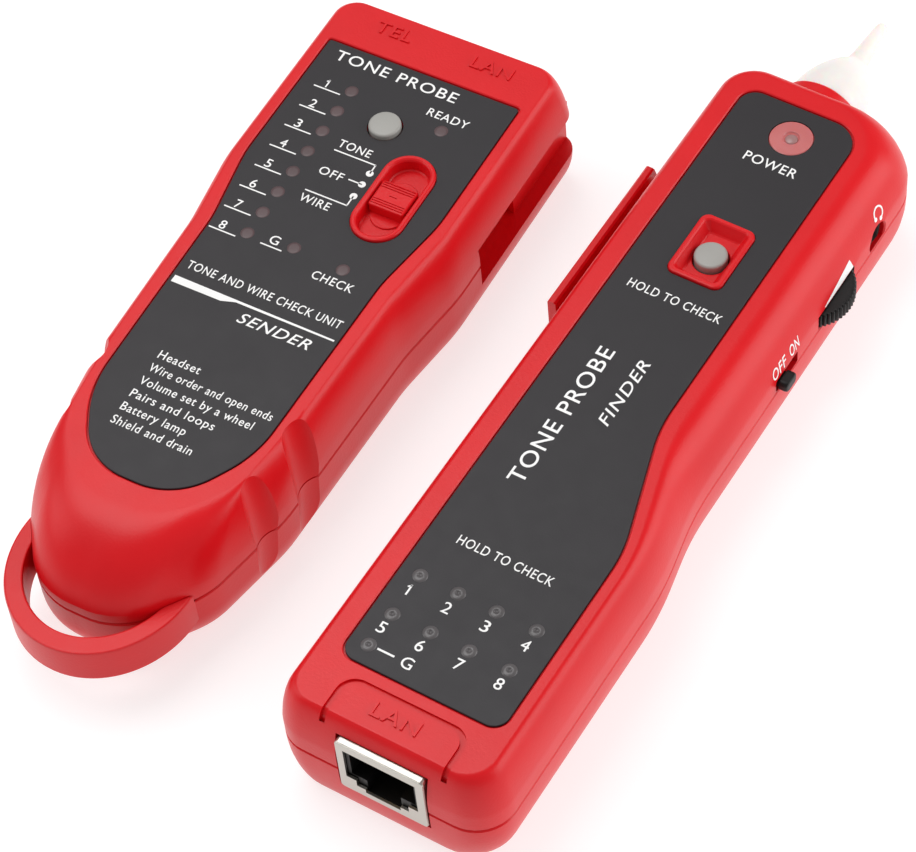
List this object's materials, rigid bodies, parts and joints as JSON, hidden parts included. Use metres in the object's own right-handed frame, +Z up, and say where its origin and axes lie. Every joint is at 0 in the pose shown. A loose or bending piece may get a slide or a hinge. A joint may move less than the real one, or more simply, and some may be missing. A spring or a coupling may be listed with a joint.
{
  "type": "tone probe kit",
  "caption": "Hand-held cable tracing set in red plastic: a tone emitter with hanging loop and jack ports, and a receiver with probe nose, lamp rows, test button and volume wheel.",
  "frame": {"origin": "middle of the kit's footprint, on the surface that both units lie on", "axes": "+Y along the receiver towards its probe nose, +X to the receiver's right as its label is read, +Z up, out of both labels"},
  "size_m": [0.1102, 0.1828, 0.0275],
  "materials": {
    "red_plastic": "moulded red plastic with a fine satin grain",
    "label_film": "printed dark grey film label with a soft sheen",
    "pink_window": "translucent pink lamp window",
    "circuit_board": "green solder-masked circuit board",
    "battery_case": "painted battery can",
    "black_plastic": "black moulded plastic",
    "plated_shield": "plated sheet metal jack shield",
    "lamp_lens": "tinted clear lamp body",
    "grey_button": "light grey moulded button",
    "white_plastic": "milky white plastic and white legend ink",
    "steel": "plain steel",
    "brass": "turned brass"
  },
  "bodies": {
    "receiver": {"receiver_top_shell": "red_plastic", "receiver_bottom_shell": "red_plastic", "receiver_label": "label_film", "receiver_power_window": "pink_window", "receiver_board": "circuit_board", "receiver_battery": "battery_case", "receiver_battery_snap": "black_plastic", "receiver_jack_shield": "plated_shield", "receiver_jack_insert": "black_plastic", "receiver_lamp_1": "lamp_lens", "receiver_lamp_2": "lamp_lens", "receiver_lamp_3": "lamp_lens", "receiver_lamp_4": "lamp_lens", "receiver_lamp_5": "lamp_lens", "receiver_lamp_6": "lamp_lens", "receiver_lamp_7": "lamp_lens", "receiver_lamp_8": "lamp_lens", "receiver_lamp_ground": "lamp_lens", "receiver_lamp_power": "lamp_lens", "receiver_test_switch": "black_plastic", "receiver_volume_control": "steel", "receiver_power_switch": "steel", "receiver_headphone_socket": "black_plastic", "receiver_speaker": "black_plastic", "receiver_probe_nose": "white_plastic", "receiver_probe_core": "brass", "receiver_screw_1": "steel", "receiver_screw_2": "steel"},
    "emitter": {"emitter_top_shell": "red_plastic", "emitter_bottom_shell": "red_plastic", "emitter_label": "label_film", "emitter_board": "circuit_board", "emitter_battery": "battery_case", "emitter_battery_snap": "black_plastic", "emitter_network_jack": "black_plastic", "emitter_phone_jack": "black_plastic", "emitter_lamp_1": "lamp_lens", "emitter_lamp_2": "lamp_lens", "emitter_lamp_3": "lamp_lens", "emitter_lamp_4": "lamp_lens", "emitter_lamp_5": "lamp_lens", "emitter_lamp_6": "lamp_lens", "emitter_lamp_7": "lamp_lens", "emitter_lamp_8": "lamp_lens", "emitter_lamp_ground": "lamp_lens", "emitter_lamp_status": "lamp_lens", "emitter_lamp_verify": "lamp_lens", "emitter_push_switch": "black_plastic", "emitter_mode_switch": "steel", "emitter_screw_1": "steel", "emitter_screw_2": "steel"},
    "test_button": {"receiver_test_button": "grey_button"},
    "volume_wheel": {"receiver_volume_wheel": "black_plastic"},
    "power_knob": {"receiver_power_knob": "black_plastic"},
    "receiver_door": {"receiver_battery_door": "red_plastic"},
    "emitter_button": {"emitter_push_button": "grey_button"},
    "mode_knob": {"emitter_mode_knob": "red_plastic"},
    "emitter_door": {"emitter_battery_door": "red_plastic"}
  },
  "joints": [
    {"name": "emitter_lift", "type": "slide", "parent": "receiver", "child": "emitter", "axis": [0, 0, 1], "range_m": [0, 0.12]},
    {"name": "test_button_press", "type": "slide", "parent": "receiver", "child": "test_button", "axis": [0, 0, -1], "range_m": [0, 0.001], "stiffness_N_per_m": 300, "springref_m": -0.0005},
    {"name": "emitter_button_press", "type": "slide", "parent": "emitter", "child": "emitter_button", "axis": [0, 0, -1], "range_m": [0, 0.001], "stiffness_N_per_m": 300, "springref_m": -0.0005},
    {"name": "mode_slide", "type": "slide", "parent": "emitter", "child": "mode_knob", "axis": [-0.0414, 0.9991, 0], "range_m": [-0.003, 0.003]},
    {"name": "power_slide", "type": "slide", "parent": "receiver", "child": "power_knob", "axis": [0, 1, 0], "range_m": [0, 0.0034]},
    {"name": "volume_turn", "type": "hinge", "parent": "receiver", "child": "volume_wheel", "pos_m": [0.0469, 0.03171, 0.0148], "axis": [0, 0, 1], "range_deg": [-140, 140]},
    {"name": "receiver_door_slide", "type": "slide", "parent": "receiver", "child": "receiver_door", "axis": [0, 1, 0], "range_m": [0, 0.006]},
    {"name": "emitter_door_slide", "type": "slide", "parent": "emitter", "child": "emitter_door", "axis": [-0.0414, 0.9991, 0], "range_m": [0, 0.006]}
  ]
}
